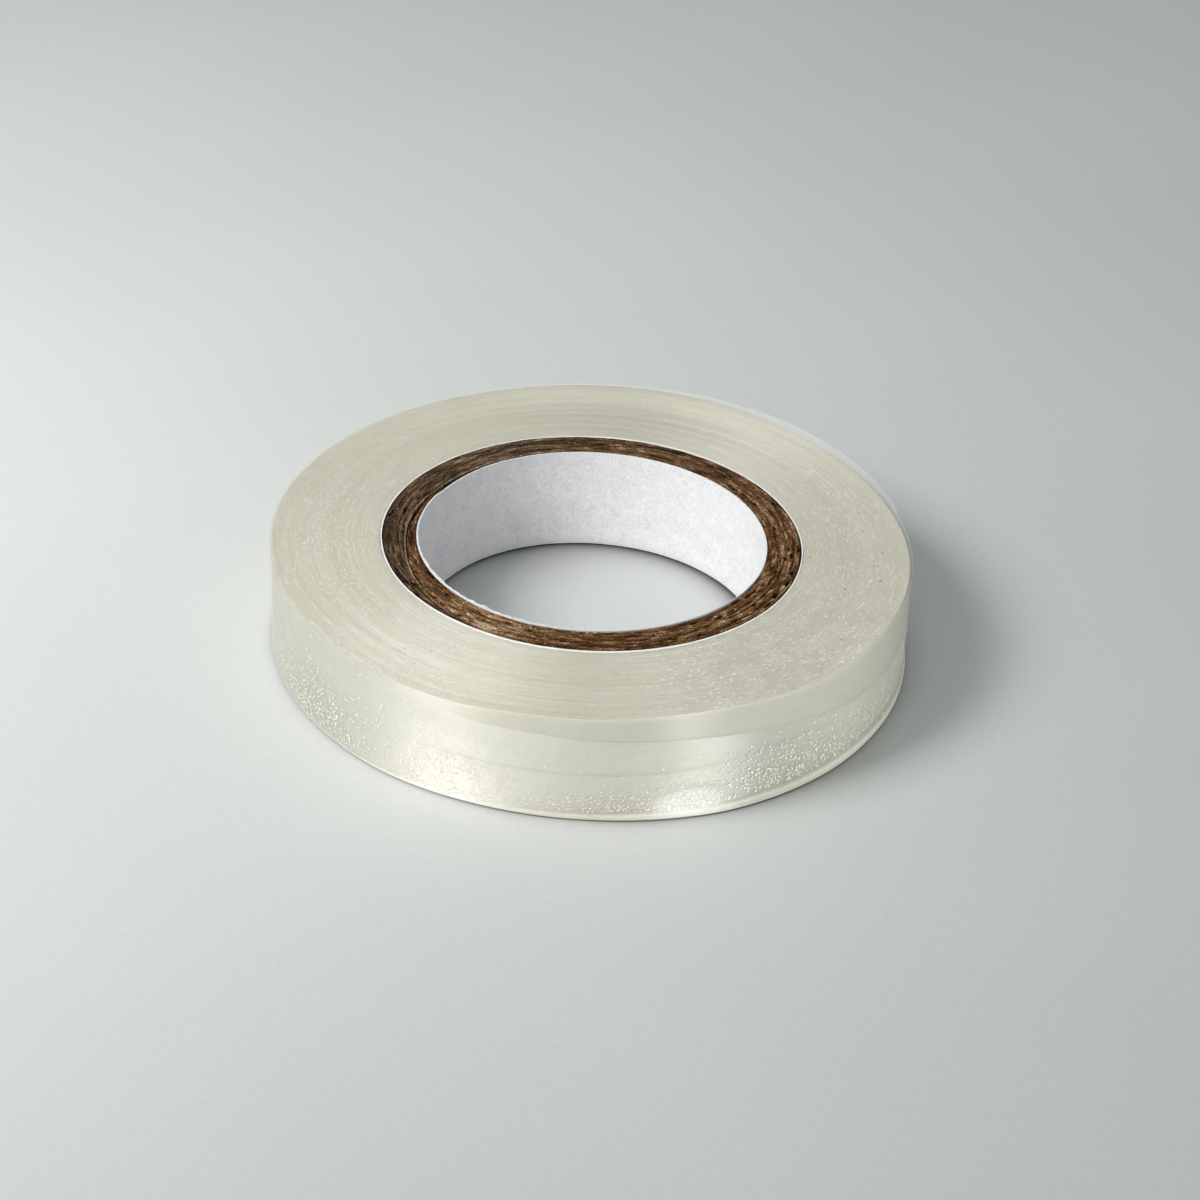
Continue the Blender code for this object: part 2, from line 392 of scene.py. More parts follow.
def tape_wall_material(name):
    """The outside of the wound turns, seen through the last layer: many thin layers that shine in upright streaks."""
    m = Mat(name)
    band, seam, milky_highlight, dotted, foot, gloss = (m.attribute(k) for k in ("band", "seam", "haze_and_highlight", "bubbly", "foot", "gloss"))
    streak = m.noise(m.vector("MULTIPLY", m.mm, (0.04, 0.04, 1.0)), 1.0, 3.0, 0.55)
    cloud = m.noise(m.mm, 0.18, 2.0, 0.5)
    fine = m.noise(m.mm, 5.0, 3.0, 0.6)
    tone = m.add(m.mul(streak, 0.55), m.add(m.mul(cloud, 0.35), m.mul(fine, 0.10)))
    colour = m.ramp(tone, [(0.32, (0.620, 0.604, 0.492)), (0.48, (0.662, 0.650, 0.545)), (0.62, (0.700, 0.692, 0.598))])
    colour = m.mix(m.mul(dotted, 0.70), colour, (0.485, 0.462, 0.345))
    # faint curls where the layers only half touch
    curl = m.math("SINE", m.mul(m.noise(m.mm, 1.15, 1.0, 0.45, 1.8), 28.0))
    loose = m.math("MAXIMUM", m.map(milky_highlight, 0.05, 0.30), 0.30)
    # painted highlight: near-white where the layers hold air, laid on as the two bright patches at the front
    colour = m.mix(m.mul(milky_highlight, 0.88), colour, (0.98, 0.966, 0.872))
    colour = m.mix(m.mul(m.mul(m.map(curl, -0.98, -0.45, 1.0, 0.0), loose), 0.40), colour, (0.62, 0.59, 0.47))
    colour = m.mix(m.mul(m.mul(m.map(curl, 0.45, 0.98), loose), 0.60), colour, (0.98, 0.975, 0.93))
    # painted shade on the rim under the film's upper edge
    colour = m.mix(m.mul(band, 0.85), colour, (0.620, 0.618, 0.550))
    colour = m.mix(m.mul(seam, 0.45), colour, (0.42, 0.42, 0.36))
    # painted highlight along the lip, from the foot attribute
    colour = m.mix(m.mul(foot, 0.9), colour, (0.90, 0.885, 0.79))
    # painted light and shade round the roll, from the shade attribute
    colour = m.vector("SCALE", colour, scale=m.attribute("shade"))
    round_axis = m.node("ShaderNodeTangent", {"direction_type": "RADIAL", "axis": "Z"}).outputs[0]
    return m.principled(Base_Color=colour, Roughness=m.math("SUBTRACT", m.map(cloud, 0.3, 0.7, 0.48, 0.53), m.mul(gloss, 0.12)), Specular_IOR_Level=1.0, IOR=2.4,
                        Anisotropic=0.95, Anisotropic_Rotation=0.268, Tangent=round_axis,
                        Subsurface_Weight=0.50, Subsurface_Radius=(1.0, 0.98, 0.88), Subsurface_Scale=0.0013,
                        Normal=m.bump(m.add(m.mul(streak, 0.6), m.mul(fine, 0.2)), 0.03, 0.25))


def tape_rim_material(name):
    """The rounded rim under the film and the lip at the foot: smooth, dull and pale."""
    m = Mat(name)
    band, seam, milky_highlight, foot = (m.attribute(k) for k in ("band", "seam", "haze_and_highlight", "foot"))
    cloud = m.noise(m.mm, 0.25, 2.0, 0.5)
    fine = m.noise(m.vector("MULTIPLY", m.mm, (0.6, 0.6, 3.0)), 2.0, 3.0, 0.6)
    tone = m.add(m.mul(cloud, 0.6), m.mul(fine, 0.4))
    colour = m.mix(m.map(tone, 0.35, 0.65), (0.600, 0.585, 0.480), (0.665, 0.652, 0.555))
    # painted shade: darker band where the rim falls away under the film
    colour = m.mix(m.mul(band, 0.90), colour, (0.565, 0.560, 0.490))
    # painted highlight: paled at the two bright patches at the front
    colour = m.mix(m.mul(milky_highlight, 0.75), colour, (0.93, 0.92, 0.845))
    colour = m.mix(m.mul(seam, 0.45), colour, (0.42, 0.42, 0.36))
    # painted highlight on the lip
    colour = m.mix(m.mul(foot, 0.95), colour, m.mix(m.map(fine, 0.35, 0.65), (0.90, 0.89, 0.825), (0.98, 0.975, 0.935)))
    # painted light and shade round the roll, from the shade attribute
    colour = m.vector("SCALE", colour, scale=m.attribute("shade"))
    return m.principled(Base_Color=colour, Roughness=m.map(tone, 0.3, 0.7, 0.42, 0.55), Specular_IOR_Level=0.35,
                        Subsurface_Weight=0.45, Subsurface_Radius=(1.0, 1.0, 1.0), Subsurface_Scale=0.0008,
                        Normal=m.bump(fine, 0.02, 0.2))


def film_material(name):
    """Clear film with its adhesive: nearly see-through on the flat, with a painted highlight along its cut edges."""
    m = Mat(name)
    edge, contact, milky_highlight, dotted, free, frothy, hidden = (m.attribute(k) for k in ("edge", "contact", "haze_and_highlight", "bubbly", "free", "froth", "hidden"))
    loose = m.attribute("loose")
    facing = m.node("ShaderNodeLayerWeight", None, Blend=0.30).outputs["Facing"]
    cloud = m.noise(m.mm, 0.22, 2.0, 0.5)
    dots = m.cells(m.mm, 2.6)["Distance"]
    dot = m.mul(m.map(dots, 0.14, 0.26, 1.0, 0.0), m.map(dotted, 0.12, 0.55))
    pit = m.mul(m.map(m.cells(m.mm, 3.0)["Distance"], 0.15, 0.32, 1.0, 0.0), m.map(milky_highlight, 0.32, 0.70))
    # flat bubbles pressed against each other, with thin faint walls of adhesive between them; their white also adds to
    # the painted highlight at the front right
    rim = m.cells(m.mm, 2.5, "DISTANCE_TO_EDGE")["Distance"]
    walls = m.mul(m.map(rim, 0.02, 0.08, 1.0, 0.0), m.map(frothy, 0.35, 0.70))
    foam = m.mul(m.map(rim, 0.02, 0.14, 0.66, 1.0), m.map(frothy, 0.06, 0.66))
    pit = m.mul(pit, m.map(frothy, 0.15, 0.40, 1.0, 0.55))
    veil = m.add(m.mul(m.map(cloud, 0.35, 0.65), 0.03), m.add(m.mul(dot, 0.34), m.mul(milky_highlight, 0.06)))
    see = m.add(m.add(0.10, veil), m.add(m.mul(edge, 0.50), m.mul(m.math("POWER", facing, 3.0), 0.18)))
    see = m.mul(see, m.map(free, 0.0, 1.0, 1.0, 0.42))
    see = m.add(m.mul(see, m.math("SUBTRACT", 1.0, m.mul(hidden, 0.88))), m.mul(loose, 0.09))
    see = m.add(see, m.add(m.mul(pit, 0.30), m.math("MAXIMUM", m.mul(foam, 0.82), m.mul(walls, 0.22))))
    # painted highlight: the cut edges are paler and more solid
    colour = m.mix(edge, (0.80, 0.795, 0.735), (0.95, 0.95, 0.92))
    # painted highlight: pale where the layers hold air and at the bright patches at the front
    colour = m.mix(milky_highlight, colour, (0.98, 0.965, 0.89))
    colour = m.mix(free, colour, (0.95, 0.965, 0.955))
    colour = m.mix(foam, colour, (0.98, 0.975, 0.94))
    colour = m.mix(m.mul(walls, 0.14), colour, (0.58, 0.54, 0.42))
    colour = m.mix(dot, colour, (0.97, 0.97, 0.93))
    colour = m.mix(m.mul(pit, 0.85), colour, (0.60, 0.56, 0.43))
    height = m.add(m.mul(m.add(dot, m.add(pit, foam)), 1.0), m.mul(cloud, 0.25))
    return m.principled(Base_Color=colour, Roughness=m.map(cloud, 0.3, 0.7, 0.24, 0.34), Specular_IOR_Level=0.8,
                        Alpha=m.math("MINIMUM", see, 0.96), Normal=m.bump(height, 0.02, 0.35))


def bubble_material(name):
    m = Mat(name)
    tint = m.noise(m.mm, 3.0, 2.0, 0.5)
    colour = m.mix(m.map(tint, 0.35, 0.65), (0.92, 0.91, 0.84), (0.98, 0.975, 0.93))
    # painted light and shade: the shine attribute dulls bubbles away from the highlights
    colour = m.mix(m.attribute("shine"), (0.66, 0.645, 0.54), colour)
    return m.principled(Base_Color=colour, Roughness=m.map(tint, 0.3, 0.7, 0.22, 0.34), Specular_IOR_Level=0.7, IOR=1.6)


def floor_material(name):
    m = Mat(name)
    cloud = m.noise(m.mm, 0.02, 3.0, 0.5)
    fine = m.noise(m.mm, 2.2, 3.0, 0.65)
    colour = m.mix(m.map(m.add(m.mul(cloud, 0.5), m.mul(fine, 0.5)), 0.35, 0.65), (0.755, 0.780, 0.773),
                   (0.795, 0.818, 0.812))
    # painted contact shadow: the floor is darkened close to the foot of a wall, further out inside the bore than
    # outside the roll
    side = m.xyz["X"]
    inward = m.mul(m.math("MAXIMUM", m.math("SUBTRACT", 12.74, m.radius), 0.0), -1.0)
    wide = m.mul(m.map(side, -8.0, 3.0, 0.40, 0.72, "LINEAR"), m.math("EXPONENT", m.mul(inward, m.map(side, -2.0, 8.0, 0.24, 0.80, "LINEAR"))))
    close = m.mul(m.map(side, 1.0, 10.0, 0.95, 0.75, "LINEAR"), m.math("EXPONENT", m.mul(inward, 2.0)))
    bore = m.mul(m.math("SUBTRACT", 1.0, wide), m.math("SUBTRACT", 1.0, close))
    bore = m.mix(m.math("LESS_THAN", m.radius, 12.95), (1.0, 1.0, 1.0), m.node("ShaderNodeCombineXYZ", X=bore, Y=bore, Z=bore).outputs[0])
    ahead = m.vector("DOT_PRODUCT", m.vector("NORMALIZE", m.vector("MULTIPLY", m.mm, (1.0, 1.0, 0.0))), (0.559, -0.829, 0.0))
    outward = m.mul(m.math("MAXIMUM", m.math("SUBTRACT", m.radius, m.map(ahead, 0.80, 1.0, 23.56, 24.02)), 0.0), -1.0)
    foot = m.mul(m.map(side, -19.0, 2.0, 0.22, 0.46, "LINEAR"), m.math("EXPONENT", m.mul(outward, m.map(side, -12.0, 20.0, 2.9, 0.9, "LINEAR"))))
    foot = m.mul(foot, m.math("GREATER_THAN", m.radius, 20.0))
    colour = m.vector("MULTIPLY", colour, bore)
    colour = m.vector("SCALE", colour, scale=m.math("SUBTRACT", 1.0, foot))
    return m.principled(Base_Color=colour, Roughness=m.map(fine, 0.3, 0.7, 0.60, 0.70), Specular_IOR_Level=0.25,
                        Normal=m.bump(fine, 0.02, 0.15))


INNER_PAPER = paper_material("inner_paper", (0.900, 0.896, 0.920), (0.874, 0.870, 0.894), (0.950, 0.947, 0.967), (0.735, 0.730, 0.765))
OUTER_PAPER = paper_material("outer_paper", (0.97, 0.965, 0.94), (0.92, 0.915, 0.89), (0.98, 0.98, 0.96), (0.85, 0.84, 0.81))
BOARD = board_material("core_board_fibre")
TAPE_FACE = tape_face_material("tape_edges")
TAPE_WALL = tape_wall_material("tape_wall")
TAPE_RIM = tape_rim_material("tape_rim")
FILM = film_material("clear_film")
BUBBLE = bubble_material("trapped_air")


# ---------------------------------------------------------------- how the outer layers run round the roll

def film_top(az):
    """Height of the last turn's upper edge: low at the front left, standing proud at the back right."""
    return TOP + through(az, [(0, 0.02), (12, 0.12), (21, 0.37), (35, 0.50), (54, 0.65), (66, 0.64), (78, 0.52), (94, 0.41),
                              (110, 0.27), (136, 0.19), (161, 0.06), (185, 0.0), (200, -0.05), (208, -0.09), (216, -0.15),
                              (224, -0.23), (232, -0.34), (240, -0.46), (248, -0.43), (256, -0.25), (264, -0.18), (272, -0.18),
                              (280, -0.09), (288, -0.05), (296, -0.01), (304, -0.08), (312, -0.27), (320, -0.23), (328, 0.0),
                              (336, 0.12), (345, 0.09)], 360.0)


def face_lift(az):
    """How far the outermost turns of the wound body climb above the upper face, or sag below it."""
    return through(az, [(0, 0.0), (40, 0.02), (52, 0.14), (66, 0.40), (78, 0.46), (94, 0.37), (110, 0.24), (136, 0.16),
                        (161, 0.04), (185, -0.02), (200, -0.07), (208, -0.11), (216, -0.17), (224, -0.25), (232, -0.36), (240, -0.48),
                        (248, -0.45), (256, -0.27), (264, -0.20), (272, -0.21), (280, -0.12), (288, -0.08), (296, -0.05), (304, -0.12),
                        (312, -0.31), (320, -0.27), (328, -0.04), (340, 0.03)], 360.0)


def film_bottom(az):
    return through(az, [(0, 0.50), (45, 0.40), (100, 0.20), (170, 0.10), (225, 0.14), (250, 0.30), (270, 0.46), (290, 0.58),
                        (305, 0.64), (322, 0.62), (340, 0.56)], 360.0)


def rim_drop(az):
    """How far the rim of the wound turns falls away under the film."""
    return through(az, [(0, 2.60), (12, 1.50), (24, 0.74), (36, 0.36), (48, 0.20), (60, 0.13), (72, 0.09), (150, 0.04), (230, 0.04),
                        (237, 0.28), (243, 0.70), (248, 0.92), (256, 1.22), (264, 1.38), (272, 1.62), (280, 1.84), (288, 2.00),
                        (296, 2.29), (304, 2.52), (312, 2.80), (320, 3.33), (328, 3.77), (336, 3.95), (344, 3.92), (352, 3.45)], 360.0)


def rim_width(az):
    return through(az, [(0, 0.16), (8, 0.22), (16, 0.26), (32, 0.20), (44, 0.12), (56, 0.08), (70, 0.06), (150, 0.035), (232, 0.035),
                        (248, 0.06), (262, 0.10), (272, 0.12), (308, 0.14), (340, 0.14)], 360.0)


def foot_radius(az):
    """Radius of the lip on which the outer turns stand; it spreads at the front right."""
    return through(az, [(0, 23.78), (60, 23.70), (120, 23.58), (170, 23.50), (202, 23.42), (222, 23.52), (236, 23.64),
                        (250, 23.60), (266, 23.68), (284, 23.90), (296, 24.08), (304, 24.06), (316, 24.02), (332, 23.90)],
                   360.0)


def film_radius(az, z):
    az = np.asarray(az, float)
    wander = 0.05 * (fbm(az / 360.0 * 9, 0.5, 71, 2, 9) - 0.5)
    turn = az % 360.0
    straight = np.where(turn > 180.0, smooth(318.0, 342.0, turn), 1 - smooth(20.0, 60.0, turn))    # at the right the wall runs straight to its foot
    spread = np.clip(1 - np.asarray(z, float) / TOP, 0.0, 1.0) ** (3.0 - 1.7 * straight)
    return FILM_R + wander + 0.72 * (foot_radius(az) - FILM_R) * spread


def patch(az, z, centre, half, height, reach):
    """A soft patch on the wall, centred on an azimuth and a height."""
    off = (np.asarray(az, float) - centre + 180.0) % 360.0 - 180.0
    return np.exp(-(off / half) ** 2) * np.exp(-((np.asarray(z, float) - height) / reach) ** 2)


def haze_and_highlight(az, z):
    """Where air under the last layers clouds them pale, and where the same pale colour is a painted highlight on the
    front of the wall.
    """
    return np.clip(0.60 * patch(az, z, 246.5, 8.0, 2.4, 3.3) + 0.85 * patch(az, z, 248.5, 7.5, 0.5, 1.9) + 1.0 * patch(az, z, 288.7, 5.4, 0.5, 2.3)
                   + 0.10 * patch(az, z, 190.0, 16.0, 5.0, 3.0), 0.0, 1.0)


def bubbly(az, z):
    """Where that air stands in separate small bubbles."""
    return np.clip(0.95 * patch(az, z, 216.0, 12.0, 1.8, 2.2) + 0.30 * patch(az, z, 250.0, 10.0, 2.0, 2.6)
                   + 1.00 * patch(az, z, 276.0, 15.0, 0.8, 1.3) + 1.00 * patch(az, z, 309.0, 18.0, 1.6, 2.3)
                   + 0.35 * patch(az, z, 150.0, 25.0, 2.0, 2.5), 0.0, 1.0)


def make_inner_liner():
    n = 600
    az = np.arange(n) * 360.0 / n
    across, up, side = loop(3, 18, 4, 26)
    A, S, U = az[:, None], across[None, :], up[None, :]
    # between the back and the left the paper stands off the board, and steps back out where the board begins
    stand_off = 0.11 * smooth(128.0, 149.0, az) * (1 - smooth(153.0, 159.0, az))
    ragged = 0.25 + 0.75 * smooth(178.0, 205.0, az) * (1 - smooth(250.0, 275.0, az))
    fray = fbm(az / 360.0 * 150, 0.3, 5, 3, 150) - 0.5
    fray2 = value_noise(az / 360.0 * 420, 0.7, 9, 420) - 0.5
    outside = 12.87 - stand_off + 0.03 * (fbm(az / 360.0 * 40, 0.1, 11, 3, 40) - 0.5)
    thick = through(az, [(0, 0.080), (60, 0.090), (140, 0.100), (175, 0.120), (200, 0.155), (226, 0.150), (248, 0.115), (280, 0.090),
                         (310, 0.065), (340, 0.070)], 360.0) + ragged * (0.08 * fray + 0.06 * fray2)
    proud = 0.07 * smooth(170.0, 200.0, az) * (1 - smooth(330.0, 355.0, az))
    top = TOP - 0.01 + proud + ragged * (0.12 * fray + 0.07 * fray2)
    cockle = 0.030 * (fbm(A / 360.0 * 26, U * 3.0, 21, 3, 26) - 0.5) + 0.012 * (fbm(A / 360.0 * 160, U * 16.0, 23, 2, 160) - 0.5)
    slit = np.exp(-((A - 206.25) * math.pi / 180 * 12.7 / 0.10) ** 2)
    radius = outside[:, None] - thick[:, None] * (1 - S) + (1 - S) * (cockle * (1 - (U > 0.98)) + 0.09 * slit)
    z = 0.03 + (top[:, None] - 0.03) * U
    z = z + 0.02 * ((side == 2)[None, :]) * np.sin(S * math.pi)
    return sweep("inner_liner", polar(radius, A, z), True, [INNER_PAPER], 50.0)


# ---------------------------------------------------------------- core: board

LAP_START, LAP_END = 100.0, 243.0        # the inner end of the board starts thin at the back; the outer end dies out at the front


def lap_line(az):
    """Radius of the cut edge where the outer end of the board lies over its inner end."""
    return through(az, [(88, 12.90), (104, 12.99), (125, 13.03), (147, 13.09), (155, 13.14), (161, 13.32), (175, 13.52),
                        (190, 13.70), (200, 13.96), (210, 14.26), (220, 14.62), (231, 14.95), (243, 15.34)])


def make_board():
    step = 0.36
    u = np.arange(LAP_START, LAP_END + 360.0 + step, step)
    across, up, side = loop(8, 7, 46, 7)
    low, high = 12.89, 15.37
    inside = np.where(u < 448.0, low, np.clip(lap_line(u - 360.0), low, high - 0.02))
    crack = 0.03 + 0.17 * smooth(157.0, 162.0, u) * (1 - smooth(166.0, 190.0, u))
    outside = np.where(u < LAP_END, np.maximum(lap_line(u) - crack, low + 0.03), high)
    outside = outside + (high - outside) * smooth(238.0, 250.0, u)
    outside = outside - 0.012 - 0.05 * (fbm(u / 3.0, 0.2, 41, 3)) * (u > 246.0)
    U, S, Z = u[:, None], across[None, :], up[None, :]
    r = inside[:, None] + (outside - inside)[:, None] * S
    arc = np.radians(U) * 14.1
    wave = 0.22 * (fbm(arc / 3.5, r / 1.6, 51, 3) - 0.5)
    fibre = fbm(arc / 1.7, (r + wave) / 0.19, 53, 4)
    fine = fbm(arc / 0.55, (r + wave) / 0.085, 57, 3)
    lumps = fbm(arc / 0.9, r / 0.6, 59, 3)
    height = 0.085 * (fibre - 0.5) + 0.045 * (fine - 0.5) + 0.05 * (lumps - 0.5)
    tone = 0.5 + 1.05 * (fibre - 0.5) + 0.55 * (fine - 0.5) + 0.2 * (lumps - 0.5)
    rng = np.random.default_rng(7)
    # dark joints between the plies of the board
    for k, place in enumerate((0.27, 0.52, 0.76)):
        line = low + (high - low) * place + 0.20 * (fbm(arc / 4.0, 0.3 + k, 61 + k, 3) - 0.5)
        depth = np.exp(-((r - line) / 0.045) ** 2) * smooth(0.35, 0.6, value_noise(arc / 1.6, 0.1 + k, 67 + k))
        height = height - 0.06 * depth
        tone = tone - 0.34 * depth

    def marks(count, sizes, widths, strength, colour, seed, az_low=0.0, az_high=360.0, curl=0.0):
        nonlocal height, tone
        pick = np.random.default_rng(seed)
        for _ in range(count):
            centre = az_low + pick.random() * (az_high - az_low)
            radius = low + 0.15 + pick.random() * (high - low - 0.3)
            length = sizes[0] + pick.random() * (sizes[1] - sizes[0])
            width = widths[0] + pick.random() * (widths[1] - widths[0])
            tilt = (pick.random() - 0.5) * curl
            gap = (U - centre + 180.0) % 360.0 - 180.0
            near = np.abs(gap[:, 0]) < 6.0
            ds = np.radians(gap[near]) * radius
            dr = r[near] - radius - tilt * ds - 0.12 * curl * np.sin(ds / length * 2.2)
            spot = np.exp(-((ds / length) ** 2 + (dr / width) ** 2) ** 1.5)
            height[near] += strength * spot
            tone[near] += colour * spot

    marks(46, (0.14, 0.42), (0.05, 0.10), -0.16, -0.75, 101)
    marks(26, (0.16, 0.50), (0.06, 0.12), -0.20, -0.85, 103, -60.0, 55.0)
    marks(30, (0.14, 0.40), (0.05, 0.10), -0.18, -0.80, 105, 190.0, 290.0)
    marks(90, (0.10, 0.40), (0.025, 0.045), 0.05, 0.42, 107, curl=0.7)
    marks(44, (0.12, 0.36), (0.025, 0.045), 0.06, 0.50, 109, -70.0, 40.0, curl=1.0)
    marks(8, (0.05, 0.16), (0.035, 0.06), 0.05, 0.85, 111, 150.0, 330.0, curl=0.5)
    # the lap's own edge: a thin raised pale line, with the board a little darker behind it
    lap = ((U > 448.0) & (U < LAP_END + 360.0 - 2.0)) * smooth(448.0, 466.0, U) * (1 - smooth(585.0, 601.0, U))
    ridge = np.exp(-((r - inside[:, None] - 0.050) / 0.045) ** 2) * lap
    height = height * (1 - ridge) + 0.07 * ridge
    tone = tone * (1 - ridge) + 0.98 * ridge
    fleck = np.exp(-((((U - 538.0) * math.pi / 180 * 13.75) / 0.20) ** 2 + ((r - 13.78) / 0.05) ** 2))
    height = height + 0.05 * fleck
    tone = tone + 0.9 * fleck
    # the top stays ragged only on its face: edges are pulled down a touch
    rim = np.minimum(S, 1 - S) * (outside - inside)[:, None]
    height = height - 0.045 * np.exp(-(rim / 0.04) ** 2) * (1 - lap)
    tone = tone - 0.30 * np.exp(-((1 - S) * (outside - inside)[:, None] / 0.07) ** 2)
    face = (side == 2)[None, :] | (up >= 0.999)[None, :]
    below = (side == 0)[None, :]
    z = (TOP - 0.08) * Z + 0.08
    z = np.where(face, TOP - 0.02 + np.clip(height, -0.24, 0.10), z)
    z = np.where(below, np.clip(0.08 - 0.6 * height, 0.03, 0.28), z)
    warm = 0.42 + 0.55 * smooth(-0.75, 0.55, np.cos(np.radians(U - 325.0))) + 0 * r
    tip = (1 - smooth(196.0, 240.0, U)) * (U < 300.0)
    warm = np.clip(warm + 0.9 * tip + 0.35 * (1 - smooth(262.0, 300.0, U)), 0.0, 1.0) * np.ones_like(r)
    back = smooth(440.0, 470.0, U)
    warm = warm * (1 - 0.60 * back)
    tone = tone - 0.26 * tip + 0.19 * (1 - smooth(246.0, 264.0, U)) + 0.06 - 0.03 * np.exp(-((U - 272.0) / 14.0) ** 2)
    tone = tone + 0.05 * np.exp(-((U - 486.0) / 16.0) ** 2) + 0.04 * np.exp(-((U - 330.0) / 14.0) ** 2) + 0.10 * np.exp(-((U - 238.0) / 11.0) ** 2)
    # painted shade: the board's inner wall behind the gap at the back left is set black
    tone = np.where(((side == 3) & (up < 0.999))[None, :] & (np.abs(U - 507.0) < 45.0), 0.0, tone)
    return sweep("core_board", polar(r, U, z), False, [BOARD], 60.0,
                 {"tone": np.clip(tone, 0.0, 1.2), "warm": warm})


# ---------------------------------------------------------------- core: outer paper

def outer_paper(az):
    """Thickness of the outer paper as it shows at the face."""
    return through(az, [(0, 0.098), (45, 0.076), (90, 0.076), (130, 0.095), (180, 0.110), (220, 0.120), (260, 0.140), (290, 0.130),
                        (320, 0.110), (345, 0.100)], 360.0)


def make_outer_liner():
    n = 560
    az = np.arange(n) * 360.0 / n
    across, up, side = loop(3, 5, 4, 5)
    A, S, U = az[:, None], across[None, :], up[None, :]
    wander = 0.030 * (fbm(az / 360.0 * 36, 0.4, 81, 3, 36) - 0.5)
    thick = outer_paper(az) * (1 + 0.35 * (fbm(az / 360.0 * 120, 0.6, 83, 3, 120) - 0.5))
    proud = 0.05 * smooth(205.0, 235.0, az) * (1 - smooth(305.0, 335.0, az))
    top = TOP - 0.005 + proud + 0.035 * (fbm(az / 360.0 * 140, 0.2, 85, 3, 140) - 0.5)
    slit = np.exp(-((az - 120.0) * math.pi / 180 * 15.5 / 0.10) ** 2)
    top = top - 0.08 * slit
    radius = 15.39 + wander[:, None] + thick[:, None] * S
    z = 0.03 + (top[:, None] - 0.03) * U
    z = z + 0.015 * ((side == 2)[None, :]) * np.sin(S * math.pi)
    return sweep("outer_liner", polar(radius, A, z), True, [OUTER_PAPER], 50.0)


